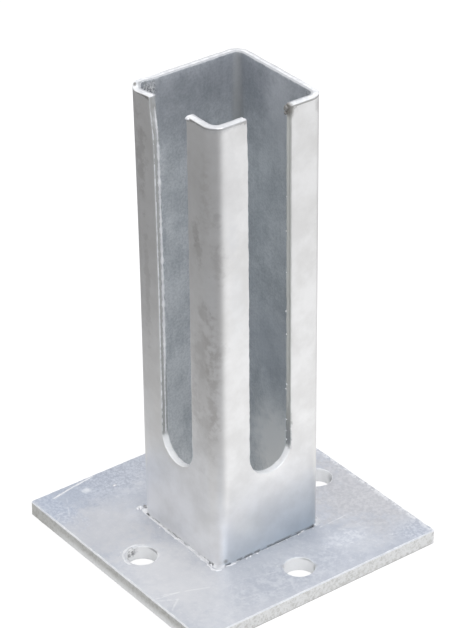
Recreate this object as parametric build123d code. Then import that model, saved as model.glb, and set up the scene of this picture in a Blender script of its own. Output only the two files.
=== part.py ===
from build123d import *
import os

# Fence post base plate: a slotted square tube let into a flat plate and welded from beneath.
# Millimetres. The origin is the middle of the plate's underside and +Z points up the tube.

# Base plate
plate_side = 150.0
plate_thickness = 8.0
plate_corner_r = 1.5
plate_edge_break = 0.5

# Anchor holes, one in the middle of each side of the plate
hole_d = 16.0
hole_from_plate_edge = 18.0
hole_count = 4
hole_edge_break = 0.4

# Square tube
tube_side = 67.0
tube_wall = 4.0
tube_inner_corner_r = 4.0
tube_rise = 247.0
tube_edge_r = 0.7

# Slots, open at the top and round at the foot, in the two walls beside one corner
slot_width = 25.5
slot_foot_rise = 45.5
slot_wall_turns = (-90.0, 0.0)

# Square cut-out in the plate, which the tube stands in
cutout_gap = 0.3
cutout_corner_r = 3.0

# Weld run: it fills the step between the tube's end and the cut-out, and stays above the ground
tube_end_above_ground = 3.5
weld_above_ground = 0.15
weld_ripple_pitch = 5.0
weld_ripple_height = 0.5
weld_ripple_rise_share = 0.8

hole_from_centre = plate_side / 2 - hole_from_plate_edge
tube_top = plate_thickness + tube_rise
tube_length = tube_top - tube_end_above_ground
tube_inner_side = tube_side - 2 * tube_wall
tube_outer_corner_r = tube_inner_corner_r + tube_wall
cutout_side = tube_side + 2 * cutout_gap
slot_foot = plate_thickness + slot_foot_rise
slot_arc_height = slot_foot + slot_width / 2
weld_ripple_r = tube_end_above_ground - weld_above_ground
rim_edge_r = min(tube_edge_r, tube_wall / 3)


def cutout_outline():
    """Outline of the square cut-out, which also bounds the weld."""
    return RectangleRounded(cutout_side, cutout_side, cutout_corner_r)


def anchor_holes():
    """The drilled holes, as one group of round cutters through the plate."""
    places = PolarLocations(hole_from_centre, hole_count)
    return Pos(0, 0, plate_thickness / 2) * places * Cylinder(hole_d / 2, 2 * plate_thickness)


def make_base_plate():
    """Flat plate with square cut-out and anchor holes, every outer edge broken."""
    blank = extrude(Rectangle(plate_side, plate_side), plate_thickness)
    blank = fillet(blank.edges().filter_by(Axis.Z), plate_corner_r)
    faces = blank.faces().sort_by(Axis.Z)
    blank = chamfer(faces[0].edges() + faces[-1].edges(), plate_edge_break)
    plate = blank - anchor_holes()
    plate = chamfer(plate.edges().filter_by(GeomType.CIRCLE).filter_by(is_hole_edge), hole_edge_break)
    return plate - extrude(cutout_outline(), plate_thickness)


def is_hole_edge(edge):
    """True for the round edges where an anchor hole meets the plate's two faces."""
    return abs(edge.radius - hole_d / 2) < hole_edge_break / 10


def slot_cutter():
    """Cutter for one slot, through the wall on +X alone, from its round foot to past the rim."""
    reach = tube_side / 2
    over_rim = slot_width / 2
    straight = tube_top + over_rim - slot_arc_height
    across = Plane(origin=(reach / 2, 0, 0), x_dir=(0, 1, 0), z_dir=(1, 0, 0))
    arc_end = Pos(0, slot_arc_height) * Circle(slot_width / 2)
    shank = Pos(0, slot_arc_height + straight / 2) * Rectangle(slot_width, straight)
    return extrude(across * (arc_end + shank), reach)


def is_rim_edge(edge):
    """True for an edge in the rim's flat top."""
    return abs(edge.center().Z - tube_top) < rim_edge_r / 10


def is_slot_edge(edge):
    """True for an edge along a side or the round foot of a slot, and not for a line along a bend."""
    middle = edge.center()
    within_slot = min(abs(middle.X), abs(middle.Y)) < slot_width / 2 + rim_edge_r
    below_rim = middle.Z < tube_top - rim_edge_r
    return within_slot and below_rim and middle.Z > plate_thickness


def make_post_tube():
    """Square tube with rounded corners, slotted in two neighbouring walls, its cut edges rounded."""
    outside = RectangleRounded(tube_side, tube_side, tube_outer_corner_r)
    inside = RectangleRounded(tube_inner_side, tube_inner_side, tube_inner_corner_r)
    tube = Pos(0, 0, tube_end_above_ground) * extrude(outside - inside, tube_length)
    for turn in slot_wall_turns:
        tube -= Rot(0, 0, turn) * slot_cutter()
    cut_edges = tube.edges().filter_by(is_rim_edge) + tube.edges().filter_by(is_slot_edge)
    return fillet(cut_edges, rim_edge_r)


def weld_run():
    """Weld along the cut-out's wall on +X: a quarter-round run whose ripples overlap like tiles."""
    seam_x = cutout_side / 2
    ripple_count = round(cutout_side / weld_ripple_pitch)
    pitch = cutout_side / ripple_count
    valley_x = seam_x - weld_ripple_r + weld_ripple_height
    crest_x = seam_x - weld_ripple_r
    outline = [(seam_x, -seam_x)]
    for i in range(ripple_count):
        start = i * pitch - seam_x
        outline += [(valley_x, start), (crest_x, start + weld_ripple_rise_share * pitch)]
    outline += [(valley_x, seam_x), (seam_x, seam_x)]
    profile = Pos(0, 0, tube_end_above_ground) * make_face(Polyline(outline, close=True))
    return revolve(profile, Axis((seam_x, 0, tube_end_above_ground), (0, 1, 0)), -90)


def make_weld_bead():
    """Weld round the tube's end: four runs that meet in the corners and fill the step in the cut-out."""
    runs = [Rot(0, 0, turn) * weld_run() for turn in (0, 90, 180, 270)]
    recess = extrude(cutout_outline(), tube_end_above_ground)
    return recess & (Part() + runs)


parts = {
    "base_plate": make_base_plate(),
    "post_tube": make_post_tube(),
    "weld_bead": make_weld_bead(),
}

os.makedirs("parts", exist_ok=True)
for name, part in parts.items():
    export_step(part, f"parts/{name}.step")
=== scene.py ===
import math
import bpy
import numpy as np
from mathutils import Matrix, Vector, kdtree, noise
from mathutils.geometry import delaunay_2d_cdt


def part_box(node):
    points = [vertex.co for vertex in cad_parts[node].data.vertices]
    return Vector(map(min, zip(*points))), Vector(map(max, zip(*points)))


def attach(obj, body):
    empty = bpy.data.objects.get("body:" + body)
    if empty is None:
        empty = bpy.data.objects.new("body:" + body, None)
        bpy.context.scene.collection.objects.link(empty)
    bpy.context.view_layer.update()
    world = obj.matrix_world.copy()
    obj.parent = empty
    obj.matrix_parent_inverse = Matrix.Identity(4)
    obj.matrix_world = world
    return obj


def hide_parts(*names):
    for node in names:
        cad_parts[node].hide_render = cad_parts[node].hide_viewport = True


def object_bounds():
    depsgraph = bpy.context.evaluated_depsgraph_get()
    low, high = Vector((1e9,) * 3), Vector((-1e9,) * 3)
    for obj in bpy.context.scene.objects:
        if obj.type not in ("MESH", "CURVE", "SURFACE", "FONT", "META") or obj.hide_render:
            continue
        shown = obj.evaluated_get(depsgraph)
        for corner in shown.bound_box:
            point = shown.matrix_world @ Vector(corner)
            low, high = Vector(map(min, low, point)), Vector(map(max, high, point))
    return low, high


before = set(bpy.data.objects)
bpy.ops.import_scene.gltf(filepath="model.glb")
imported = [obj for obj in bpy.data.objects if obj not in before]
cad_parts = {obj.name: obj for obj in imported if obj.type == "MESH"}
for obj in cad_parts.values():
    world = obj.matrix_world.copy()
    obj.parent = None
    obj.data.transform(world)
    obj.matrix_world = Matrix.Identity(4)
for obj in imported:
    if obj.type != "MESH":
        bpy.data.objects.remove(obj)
cad_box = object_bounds()

# Sizes of the steel, in metres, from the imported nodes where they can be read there
MM = 0.001
plate_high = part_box("base_plate")[1]
tube_low, tube_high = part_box("post_tube")
weld_low, weld_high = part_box("weld_bead")
PLATE_HALF = plate_high.x
PLATE_TOP = plate_high.z
PLATE_BEND = 1.5 * MM
PLATE_EDGE = 0.45 * MM
HOLE_R = 8.0 * MM
HOLE_EDGE = 0.35 * MM
HOLE_FROM_CENTRE = PLATE_HALF - 18.0 * MM
CUTOUT_HALF = weld_high.x
CUTOUT_BEND = 3.0 * MM
TUBE_HALF = tube_high.x
TUBE_FOOT = tube_low.z
TUBE_TOP = tube_high.z
TUBE_WALL = 4.0 * MM
TUBE_BEND = 8.0 * MM
TUBE_EDGE = 0.5 * MM
SLOT_HALF = 12.75 * MM
SLOT_ARC_HEIGHT = PLATE_TOP + 45.5 * MM + SLOT_HALF
SLOT_MOUTH_R = 0.7 * MM
WELD_LOW = weld_low.z

# The square tube's outline, unrolled: one quarter runs from the middle of a wall to the next
FLAT = 2 * (TUBE_HALF - TUBE_BEND)
BEND_LENGTH = TUBE_BEND * math.pi / 2
QUARTER = FLAT + BEND_LENGTH
ROUND = 4 * QUARTER
LEFT_CORNER = -QUARTER / 2

# What the shears and the saw left uneven on this one, in metres
SLOT_RISE = (0.8 * MM, -0.2 * MM)
MOUTH_FLARE = (2.0 * MM, 0.5 * MM)
FLARE_DEPTH = 26 * MM
TONGUE_LEAN = Vector((-1.5, 1.2)) * MM
FLANGE_LEAN = Vector((-0.85, -0.65)) * MM
FLANGE_LEAN_DEPTH = 110 * MM
CORNER_DIP = 1.4 * MM
CORNER_DIP_DEPTH = 10 * MM

# Where round the left corner the lean and the dip fade in, and where the dip fades out to the slot
LEAN_FADE = (LEFT_CORNER - 14 * MM, LEFT_CORNER - 2 * MM)
DIP_FADE_IN = (LEFT_CORNER - 0.6 * MM, LEFT_CORNER + 0.9 * MM)
DIP_FADE_OUT = (13 * MM, 28 * MM)

# Waves of the rolled faces and lumps of zinc on the cut edges, as (height in mm, width, seed)
TUBE_WAVES = ((0.05, 45 * MM, 1.0), (0.02, 12 * MM, 4.0))
TUBE_LUMPS = ((0.16, 6 * MM, 7.0), (0.16, 2.2 * MM, 9.0))
TUBE_LUMPS_SUNK_MM = 0.05
PLATE_WAVES = ((0.03, 40 * MM, 12.0),)
PLATE_LUMPS = ((0.14, 6 * MM, 15.0), (0.14, 1.9 * MM, 17.0))
PLATE_LUMPS_SUNK_MM = 0.06
LUMPS_REACH_MM = 2.0
GROUND_SKIN = 0.1 * MM

# How finely the sheets are meshed
FACE_STEP = 2.0 * MM
EDGE_STEP = 0.6 * FACE_STEP
HOLE_STEP = FACE_STEP / 3
ROW_STEP = 0.87 * FACE_STEP
CLEAR_OF_EDGE = 0.6 * FACE_STEP
EDGE_ROWS = 3

UP = Vector((0, 0, 1))


def smooth(low, high, value):
    """0 below low, 1 above high and a smooth step between."""
    t = min(max((value - low) / (high - low), 0.0), 1.0)
    return t * t * (3 - 2 * t)


def noise_at(place, size, seed):
    """Smooth noise between about -1 and 1, whose lumps are about size metres across."""
    return noise.noise(Vector(place) / size + Vector((seed, 2 * seed, -seed)))


def uneven(place, layers):
    """Noise in layers, each given as (height, size, seed)."""
    return sum(height * noise_at(place, size, seed) for height, size, seed in layers)


# Outlines, as rows of 2-D points with the steel on their right

def straight(start, end, step):
    """Points from start up to, but not at, end."""
    start, end = np.array(start), np.array(end)
    count = max(1, round(np.linalg.norm(end - start) / step))
    return [tuple(start + (end - start) * i / count) for i in range(count)]


def arc(centre, radius, start_deg, end_deg, step):
    """Points on an arc, the last one left out."""
    turn = math.radians(end_deg - start_deg)
    count = max(3, round(abs(turn) * radius / step))
    angles = [math.radians(start_deg) + turn * i / count for i in range(count)]
    return [(centre[0] + radius * math.cos(a), centre[1] + radius * math.sin(a)) for a in angles]


def turned(x, y, quarter_turns):
    angle = quarter_turns * math.pi / 2
    return (x * math.cos(angle) - y * math.sin(angle), x * math.sin(angle) + y * math.cos(angle))


def rounded_square(half, bend, step, clockwise):
    """A square outline with rounded corners about the origin."""
    flat = half - bend
    points = []
    for corner in range(4):
        points += straight(turned(half, -flat, corner), turned(half, flat, corner), step)
        points += arc(turned(flat, flat, corner), bend, 90 * corner, 90 * corner + 90, min(step, bend / 4))
    return points[::-1] if clockwise else points


def rim_outline(step):
    """The tube's top edge once round, with the two slots, from the middle of the -X wall."""
    points = []
    start = (-QUARTER, TUBE_TOP)
    mouth = TUBE_TOP - SLOT_MOUTH_R
    for middle, rise, flare in zip((0.0, QUARTER), SLOT_RISE, MOUTH_FLARE):
        arc_height = SLOT_ARC_HEIGHT + rise
        left, right = middle - SLOT_HALF, middle + SLOT_HALF
        lip = left - flare
        points += straight(start, (lip - SLOT_MOUTH_R, TUBE_TOP), step)
        points += arc((lip - SLOT_MOUTH_R, mouth), SLOT_MOUTH_R, 90, 0, step / 4)
        side = straight((left, mouth), (left, arc_height), step)
        points += [(x - flare * smooth(-FLARE_DEPTH, 0.0, z - mouth), z) for x, z in side]
        points += arc((middle, arc_height), SLOT_HALF, 180, 360, step / 1.5)
        points += straight((right, arc_height), (right, mouth), step)
        points += arc((right + SLOT_MOUTH_R, mouth), SLOT_MOUTH_R, 180, 90, step / 4)
        start = (right + SLOT_MOUTH_R, TUBE_TOP)
    return points + straight(start, (3 * QUARTER, TUBE_TOP), step)


def foot_outline(step):
    """The tube's bottom edge once round, the other way."""
    return straight((3 * QUARTER, TUBE_FOOT), (-QUARTER, TUBE_FOOT), step)


# From the flat outlines to places on the steel

def on_square_tube(u, depth):
    """Place on the tube's true outline at length u along it and depth below its surface."""
    quarter, along = divmod(u, QUARTER)
    if along < FLAT / 2:
        x, y = along, -TUBE_HALF + depth
    elif along < FLAT / 2 + BEND_LENGTH:
        lean = (along - FLAT / 2) / TUBE_BEND
        x = FLAT / 2 + (TUBE_BEND - depth) * math.sin(lean)
        y = -FLAT / 2 - (TUBE_BEND - depth) * math.cos(lean)
    else:
        x, y = TUBE_HALF - depth, along - QUARTER
    return turned(x, y, quarter)


def on_tube(u, z, depth):
    """Place on the tube as it stands, its sprung tongue and flange included."""
    x, y = on_square_tube(u, depth)
    below_rim = TUBE_TOP - z
    if 0 < u < QUARTER:
        t = max(0.0, (z - SLOT_ARC_HEIGHT) / (TUBE_TOP - SLOT_ARC_HEIGHT))
        bend = t * t * (3 - t) / 2
        x += TONGUE_LEAN.x * bend
        y += TONGUE_LEAN.y * bend
    elif -QUARTER < u < 0:
        lean = max(0.0, 1 - below_rim / FLANGE_LEAN_DEPTH) ** 1.3 * smooth(*LEAN_FADE, u)
        x += FLANGE_LEAN.x * lean
        y += FLANGE_LEAN.y * lean
        near_corner = smooth(*DIP_FADE_IN, u) * smooth(*DIP_FADE_OUT, -u)
        z -= CORNER_DIP * near_corner * max(0.0, 1 - below_rim / CORNER_DIP_DEPTH)
    return (x, y, z)


def on_plate(x, y, depth):
    return (x, y, PLATE_TOP - depth)


def ring_map(u, z):
    """The unrolled tube laid out as a flat ring, so that it closes on itself."""
    angle = 2 * math.pi * u / ROUND
    radius = TUBE_TOP + z
    return (radius * math.cos(angle), radius * math.sin(angle))


def flat_map(x, y):
    return (x, y)


# Sheet steel from outlines

def edge_section(thickness, edge_r):
    """(inset, depth) pairs that lead round the cut edge of a sheet, from its face to its back."""
    angles = [math.pi / 2 * i / EDGE_ROWS for i in range(EDGE_ROWS + 1)]
    face = [(edge_r * (1 - math.sin(a)), edge_r * (1 - math.cos(a))) for a in angles]
    middle = [(0.0, thickness * share) for share in (0.3, 0.5, 0.7)]
    back = [(inset, thickness - depth) for inset, depth in reversed(face)]
    return face + middle + back


def inward_normals(loop, wrap=0.0):
    """Unit vectors to the right of a closed loop; wrap is the length after which x repeats, or 0."""
    points = np.array(loop)
    along = np.roll(points, -1, axis=0) - np.roll(points, 1, axis=0)
    if wrap:
        along[:, 0] = (along[:, 0] + wrap / 2) % wrap - wrap / 2
    normals = np.stack([along[:, 1], -along[:, 0]], axis=1)
    return normals / np.linalg.norm(normals, axis=1, keepdims=True)


def inside_loops(points, loops):
    """Which of the points lie inside the loops, holes left out, by the even-odd rule."""
    inside = np.zeros(len(points), bool)
    x, y = points[:, 0:1], points[:, 1:2]
    for loop in loops:
        a = np.array(loop)
        b = np.roll(a, -1, axis=0)
        crosses = (a[:, 1] > y) != (b[:, 1] > y)
        rise = np.where(b[:, 1] == a[:, 1], 1e-12, b[:, 1] - a[:, 1])
        at = (b[:, 0] - a[:, 0]) * (y - a[:, 1]) / rise + a[:, 0]
        inside ^= (np.sum(crosses & (x < at), axis=1) % 2).astype(bool)
    return inside


def filling(loops, low, high, flatten):
    """Evenly spread points inside the loops, in staggered rows, well clear of the loops."""
    tree = kdtree.KDTree(sum(len(loop) for loop in loops))
    for index, point in enumerate(point for loop in loops for point in loop):
        tree.insert((*point, 0.0), index)
    tree.balance()
    row_count = round((high[1] - low[1]) / ROW_STEP)
    column_count = round((high[0] - low[0]) / FACE_STEP)
    points = []
    for row in range(row_count):
        y = low[1] + (row + 0.5) * (high[1] - low[1]) / row_count
        for column in range(column_count):
            x = low[0] + (column + 0.5 * (row % 2)) * (high[0] - low[0]) / column_count
            points.append((x, y))
    mapped = np.array([flatten(*p) for p in points])
    keep = inside_loops(mapped, [[flatten(*p) for p in loop] for loop in loops])
    spots = [(p, tree.find((*p, 0.0))[2]) for p, inside in zip(points, keep) if inside]
    return [(p, distance) for p, distance in spots if distance > CLEAR_OF_EDGE]


def band(row, next_row):
    """Quads between two closed rows of the same length."""
    size = len(row)
    return [(row[i], next_row[i], next_row[(i + 1) % size], row[(i + 1) % size]) for i in range(size)]


def bands(count, size, first=0):
    """Quads between each two of count closed rows, which are numbered on from first."""
    rows = [range(start, start + size) for start in range(first, first + count * size, size)]
    return [quad for row, next_row in zip(rows, rows[1:]) for quad in band(row, next_row)]


def sheet_piece(name, loops, edge_radii, span, thickness, place, flatten, wrap=0.0):
    """A piece of sheet steel: both faces finely meshed, and each cut edge rounded over."""
    normals = [inward_normals(loop, wrap) for loop in loops]
    inset = [[tuple(np.array(p) + n * edge_r) for p, n in zip(loop, ns)]
             for loop, ns, edge_r in zip(loops, normals, edge_radii)]
    inner = filling(inset, *span, flatten)
    flat = [p for loop in inset for p in loop] + [p for p, _ in inner]
    edge_mm = [edge_r / MM for loop, edge_r in zip(loops, edge_radii) for _ in loop]
    edge_mm += [(distance + edge_radii[0]) / MM for _, distance in inner]
    edges, first = [], 0
    for loop in inset:
        count = len(loop)
        edges += [(first + i, first + (i + 1) % count) for i in range(count)]
        first += count
    mapped = [Vector(flatten(*p)) for p in flat]
    _, _, triangles, origins, _, _ = delaunay_2d_cdt(mapped, edges, [], 0, 1e-9)
    real = [origin[0] for origin in origins]
    triangles = np.array([[real[i] for i in triangle] for triangle in triangles])
    spots = np.array([tuple(p) for p in mapped])
    keep = inside_loops(spots[triangles].mean(axis=1), [[flatten(*p) for p in loop] for loop in inset])
    triangles = triangles[keep]
    count = len(flat)
    places = [place(*p, 0.0) for p in flat] + [place(*p, thickness) for p in flat]
    edge_mm = edge_mm * 2
    through = [0.0] * count + [1.0] * count
    faces = [tuple(t) for t in triangles] + [tuple(t[::-1] + count) for t in triangles]
    first = 0
    for loop, ns, edge_r in zip(loops, normals, edge_radii):
        size = len(loop)
        before = range(first, first + size)
        for inset_by, depth in edge_section(thickness, edge_r)[1:-1]:
            row = range(len(places), len(places) + size)
            places += [place(*(np.array(p) + n * inset_by), depth) for p, n in zip(loop, ns)]
            edge_mm += [inset_by / MM] * size
            through += [depth / thickness] * size
            faces += band(before, row)
            before = row
        faces += band(before, range(count + first, count + first + size))
        first += size
    piece = mesh_piece(name, places, faces)
    write_values(piece, edge_mm, through)
    return piece


def write_values(piece, edge_mm, through):
    """Stores each vertex's way from the cut edge and its depth in the sheet, for the materials."""
    for name, values in (("edge_mm", edge_mm), ("through", through)):
        attribute = piece.data.attributes.new(name, "FLOAT", "POINT")
        attribute.data.foreach_set("value", values)


def add_object(name, data):
    """Puts a mesh, a lamp or the camera into the scene."""
    made = bpy.data.objects.new(name, data)
    bpy.context.scene.collection.objects.link(made)
    return made


def mesh_piece(name, places, faces):
    """A smooth-shaded object with outward normals."""
    data = bpy.data.meshes.new(name)
    data.from_pydata([tuple(p) for p in places], [], faces)
    piece = add_object(name, data)
    bpy.context.view_layer.objects.active = piece
    piece.select_set(True)
    bpy.ops.object.mode_set(mode="EDIT")
    bpy.ops.mesh.select_all(action="SELECT")
    bpy.ops.mesh.normals_make_consistent(inside=False)
    bpy.ops.object.mode_set(mode="OBJECT")
    piece.select_set(False)
    data.polygons.foreach_set("use_smooth", [True] * len(data.polygons))
    return piece


def relief(piece, waves, lumps, sunk_mm):
    """Makes the faces wavy and the cut edges lumpy, within the CAD box, and keeps the ground face flat."""
    data = piece.data
    count = len(data.vertices)
    places, normals, edge_mm = np.zeros(3 * count), np.zeros(3 * count), np.zeros(count)
    data.vertices.foreach_get("co", places)
    data.vertex_normals.foreach_get("vector", normals)
    data.attributes["edge_mm"].data.foreach_get("value", edge_mm)
    places, normals = places.reshape(-1, 3), normals.reshape(-1, 3)
    heights = np.zeros((count, 1))
    for index, (place, near) in enumerate(zip(places, edge_mm)):
        if place[2] >= GROUND_SKIN:
            near_edge = max(0.0, 1.0 - near / LUMPS_REACH_MM)
            lumpy = near_edge * (uneven(place, lumps) - sunk_mm)
            heights[index] = (uneven(place, waves) + lumpy) * MM
    low, high = cad_box
    data.vertices.foreach_set("co", np.clip(places + normals * heights, low, high).ravel())
    data.update()


# The post tube and the base plate

def make_post_tube():
    """The slotted tube, rolled a little wavy."""
    loops = [rim_outline(EDGE_STEP), foot_outline(FACE_STEP)]
    span = ((-QUARTER, TUBE_FOOT), (3 * QUARTER, TUBE_TOP))
    tube = sheet_piece("zinced_tube", loops, [TUBE_EDGE, TUBE_EDGE], span, TUBE_WALL, on_tube,
                       ring_map, wrap=ROUND)
    relief(tube, TUBE_WAVES, TUBE_LUMPS, TUBE_LUMPS_SUNK_MM)
    return tube


def make_base_plate():
    """The flat plate with its cut-out and holes, its edges slightly ragged under the zinc."""
    loops = [rounded_square(PLATE_HALF, PLATE_BEND, EDGE_STEP, clockwise=True),
             rounded_square(CUTOUT_HALF, CUTOUT_BEND, EDGE_STEP, clockwise=False)]
    for quarter in range(4):
        loops.append(arc(turned(HOLE_FROM_CENTRE, 0.0, quarter), HOLE_R, 0, 360, HOLE_STEP))
    edge_radii = [PLATE_EDGE] * 2 + [HOLE_EDGE] * 4
    span = ((-PLATE_HALF, -PLATE_HALF), (PLATE_HALF, PLATE_HALF))
    plate = sheet_piece("zinced_plate", loops, edge_radii, span, PLATE_TOP, on_plate, flat_map)
    relief(plate, PLATE_WAVES, PLATE_LUMPS, PLATE_LUMPS_SUNK_MM)
    return plate


# The zinc that closes the joint between tube and plate

def pocket_gap(u):
    """Width of the joint, measured squarely from the tube, which opens out at the tube's corners."""
    along = u % QUARTER
    side_gap = CUTOUT_HALF - TUBE_HALF
    if along <= FLAT / 2 or along >= FLAT / 2 + BEND_LENGTH:
        return side_gap
    lean = (along - FLAT / 2) / TUBE_BEND
    lean = min(lean, math.pi / 2 - lean)
    to_side = (CUTOUT_HALF - FLAT / 2) / math.cos(lean)
    across = CUTOUT_HALF - CUTOUT_BEND - FLAT / 2
    reach = across * (math.sin(lean) + math.cos(lean))
    to_corner = reach + math.sqrt(max(0.0, reach ** 2 - 2 * across ** 2 + CUTOUT_BEND ** 2))
    return min(to_side, to_corner) - TUBE_BEND


# How full the joint is: on the four walls from -Y on, at least in corners and at the front, and its drift
JOINT_FULL = (0.62, 0.22, 0.5, 0.6)
CORNER_FULL = 0.7
FRONT_FULL = 0.62
JOINT_DRIFT = ((0.9, 11.0), (0.5, 37.0))

# The zinc's skin: places across it, and its tuck into the tube, depth, roughness and sag at open joints
SKIN_SHARES = (0.0, 0.12, 0.28, 0.45, 0.62, 0.78, 0.9, 1.0)
SKIN_COLUMNS = 620
SKIN_TUCK = 0.15 * MM
SKIN_DEPTH = 1.6 * MM * UP
SKIN_ROUGH = 0.10 * MM
OPEN_SAG = 1.1 * MM

# A pit in the zinc beside the left corner: its middle, half width and depth
PIT_AT = LEFT_CORNER - 2.4 * MM
PIT_WIDE = 1.0 * MM
PIT_DEEP = 1.3 * MM


def zinc_in_joint(u):
    """How full the joint is at u, from 0 for an open hairline to 1 for a proud bead."""
    angle = 2 * math.pi * u / ROUND
    along = Vector((math.cos(angle), math.sin(angle), 0.0))
    drift = sum(height * noise.noise(along * turns) for height, turns in JOINT_DRIFT)
    mean = JOINT_FULL[round(u / QUARTER) % 4]
    at_corner = smooth(0.2 * MM, 0.9 * MM, pocket_gap(u))
    at_front = 1 - smooth(7 * MM, 13 * MM, abs(u - QUARTER / 2))
    return min(1.0, max(at_corner * CORNER_FULL, at_front * FRONT_FULL, mean + 0.55 * drift))


def make_foot_zinc():
    """A thin uneven run of zinc round the tube's foot, pooled in the four corner pockets."""
    rows = [[] for _ in range(len(SKIN_SHARES) + 2)]
    for column in range(SKIN_COLUMNS):
        u = ROUND * column / SKIN_COLUMNS - QUARTER
        full = zinc_in_joint(u)
        place = Vector((*on_square_tube(u, 0.0), PLATE_TOP))
        outward = (Vector((*on_square_tube(u, -1.0 * MM), PLATE_TOP)) - place).normalized()
        pit = PIT_DEEP * math.exp(-((u - PIT_AT) / PIT_WIDE) ** 2)
        ragged = full * (0.5 + 0.5 * noise_at(place, 1.6 * MM, 21.0))
        spread = pocket_gap(u) + (0.15 + 0.55 * ragged) * MM
        wick = (0.05 + 0.45 * ragged) * MM
        for share, row in zip(SKIN_SHARES, rows):
            reach = share * (spread + SKIN_TUCK) - SKIN_TUCK
            bow = math.sin(math.pi * share)
            sag = (1 - smooth(0.25, 0.55, full)) * OPEN_SAG * bow
            texture = SKIN_ROUGH * bow * noise_at(place + outward * reach, 1.3 * MM, 25.0)
            rise = wick * (1 - share) ** 2 - 0.04 * MM * share
            pool = bow * (0.10 * MM * full - pit) - sag + texture
            row.append(place + outward * reach + UP * (rise + pool))
        rows[-2].append(place + outward * spread - SKIN_DEPTH)
        rows[-1].append(place - outward * SKIN_TUCK - SKIN_DEPTH)
    return closed_skin("foot_zinc", rows)


def closed_skin(name, rows):
    """A piece whose skin runs over closed rows of points, and from the last row to the first."""
    size = len(rows[0])
    faces = bands(len(rows), size)
    faces += band(range((len(rows) - 1) * size, len(rows) * size), range(size))
    return mesh_piece(name, [p for row in rows for p in row], faces)


# The weld under the plate

WELD_STEP = 0.45 * MM
WELD_PITCH = 2.3 * MM
WELD_TURNS = 9
WELD_RIPPLE = 0.26 * MM
WELD_ROUGH = 0.10 * MM
WELD_CORNER_REACH = 0.97 * CUTOUT_BEND


def make_weld():
    """A quarter-round weld run whose curved ripples follow one another round the tube's end."""
    radius = TUBE_FOOT - WELD_LOW
    path = rounded_square(CUTOUT_HALF, CUTOUT_BEND, WELD_STEP, clockwise=False)
    lengths = np.cumsum([0.0] + [math.dist(a, b) for a, b in zip(path, path[1:])])
    total = lengths[-1] + math.dist(path[-1], path[0])
    ripple = total / round(total / WELD_PITCH)
    rows = [[] for _ in range(WELD_TURNS + 2)]
    for point, normal, length in zip(path, -inward_normals(path), lengths):
        inward = Vector((*normal, 0.0))
        at = Vector((*point, TUBE_FOOT))
        corner = min(abs(point[0]), abs(point[1])) > CUTOUT_HALF - CUTOUT_BEND
        most = WELD_CORNER_REACH if corner else radius
        rough = WELD_ROUGH * (noise_at(at, 5 * MM, 31.0) - 0.6)
        for turn, row in zip(range(WELD_TURNS + 1), rows):
            angle = math.pi / 2 * turn / WELD_TURNS
            phase = (length / ripple + 0.35 * math.sin(2 * angle)) % 1.0
            wave = WELD_RIPPLE * (smooth(0.0, 0.75, phase) - smooth(0.75, 1.0, phase) - 1)
            r = radius + wave * math.sin(2 * angle) ** 0.5 + rough
            row.append(at + inward * min(r * math.sin(angle), most) - UP * (r * math.cos(angle)))
        rows[-1].append(at)
    return closed_skin("weld_run", rows)


# Runs and pimples of zinc

RUN_SIDES = 8
RUN_SWELL = ((0.50, 3 * MM, 41.0), (0.40, 1.2 * MM, 43.0))
PIMPLE_RINGS = 3
PIMPLE_SIDES = 8
PIMPLE_SUNK = 0.1 * MM

# How high the drops on the plate and the lumps on the rims stand, as a share of their radius
DROP_RISE = 0.7
LUMP_RISE = 0.85


def zinc_run(points, radius, height, step):
    """A low rounded run of zinc along a row of (place, up) pairs, tapered to nothing at both ends."""
    path, ups = [], []
    for (a, up_a), (b, up_b) in zip(points, points[1:]):
        count = max(1, round((b - a).length / step))
        path += [a.lerp(b, i / count) for i in range(count)]
        ups += [up_a.lerp(up_b, i / count).normalized() for i in range(count)]
    path.append(points[-1][0])
    ups.append(points[-1][1])
    places = []
    for i, (at, up) in enumerate(zip(path, ups)):
        ahead = (path[min(i + 1, len(path) - 1)] - path[max(i - 1, 0)]).normalized()
        side = ahead.cross(up).normalized()
        share = i / (len(path) - 1)
        taper = min(1.0, 8 * share, 8 * (1 - share)) ** 0.5
        size = max(0.05, taper * (0.75 + uneven(at, RUN_SWELL)))
        for k in range(RUN_SIDES):
            angle = 2 * math.pi * k / RUN_SIDES
            places.append(at + side * radius * size * math.cos(angle) + up * height * size * math.sin(angle))
    ends = [tuple(range(RUN_SIDES)), tuple(len(places) - 1 - k for k in range(RUN_SIDES))]
    return places, bands(len(path), RUN_SIDES) + ends


def zinc_pimple(at, up, radius, height, seed):
    """A small dome of zinc, a little out of round."""
    side = up.orthogonal().normalized()
    other = up.cross(side)
    places = [at + up * height]
    for ring in range(1, PIMPLE_RINGS + 1):
        tilt = math.pi / 2 * ring / PIMPLE_RINGS
        sunk = PIMPLE_SUNK if ring == PIMPLE_RINGS else 0.0
        for k in range(PIMPLE_SIDES):
            angle = 2 * math.pi * k / PIMPLE_SIDES
            out = radius * math.sin(tilt) * (1 + 0.25 * math.sin(2 * angle + seed))
            direction = side * math.cos(angle) + other * math.sin(angle)
            places.append(at + direction * out + up * (height * math.cos(tilt) - sunk))
    faces = [(0, 1 + k, 1 + (k + 1) % PIMPLE_SIDES) for k in range(PIMPLE_SIDES)]
    faces += bands(PIMPLE_RINGS, PIMPLE_SIDES, first=1)
    faces.append(tuple(range(len(places) - PIMPLE_SIDES, len(places))))
    return places, faces


def joined_piece(name, parts):
    """One piece from several (places, faces) pairs."""
    places, faces = [], []
    for part_places, part_faces in parts:
        first = len(places)
        places += part_places
        faces += [tuple(first + i for i in face) for face in part_faces]
    return mesh_piece(name, places, faces)


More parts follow.
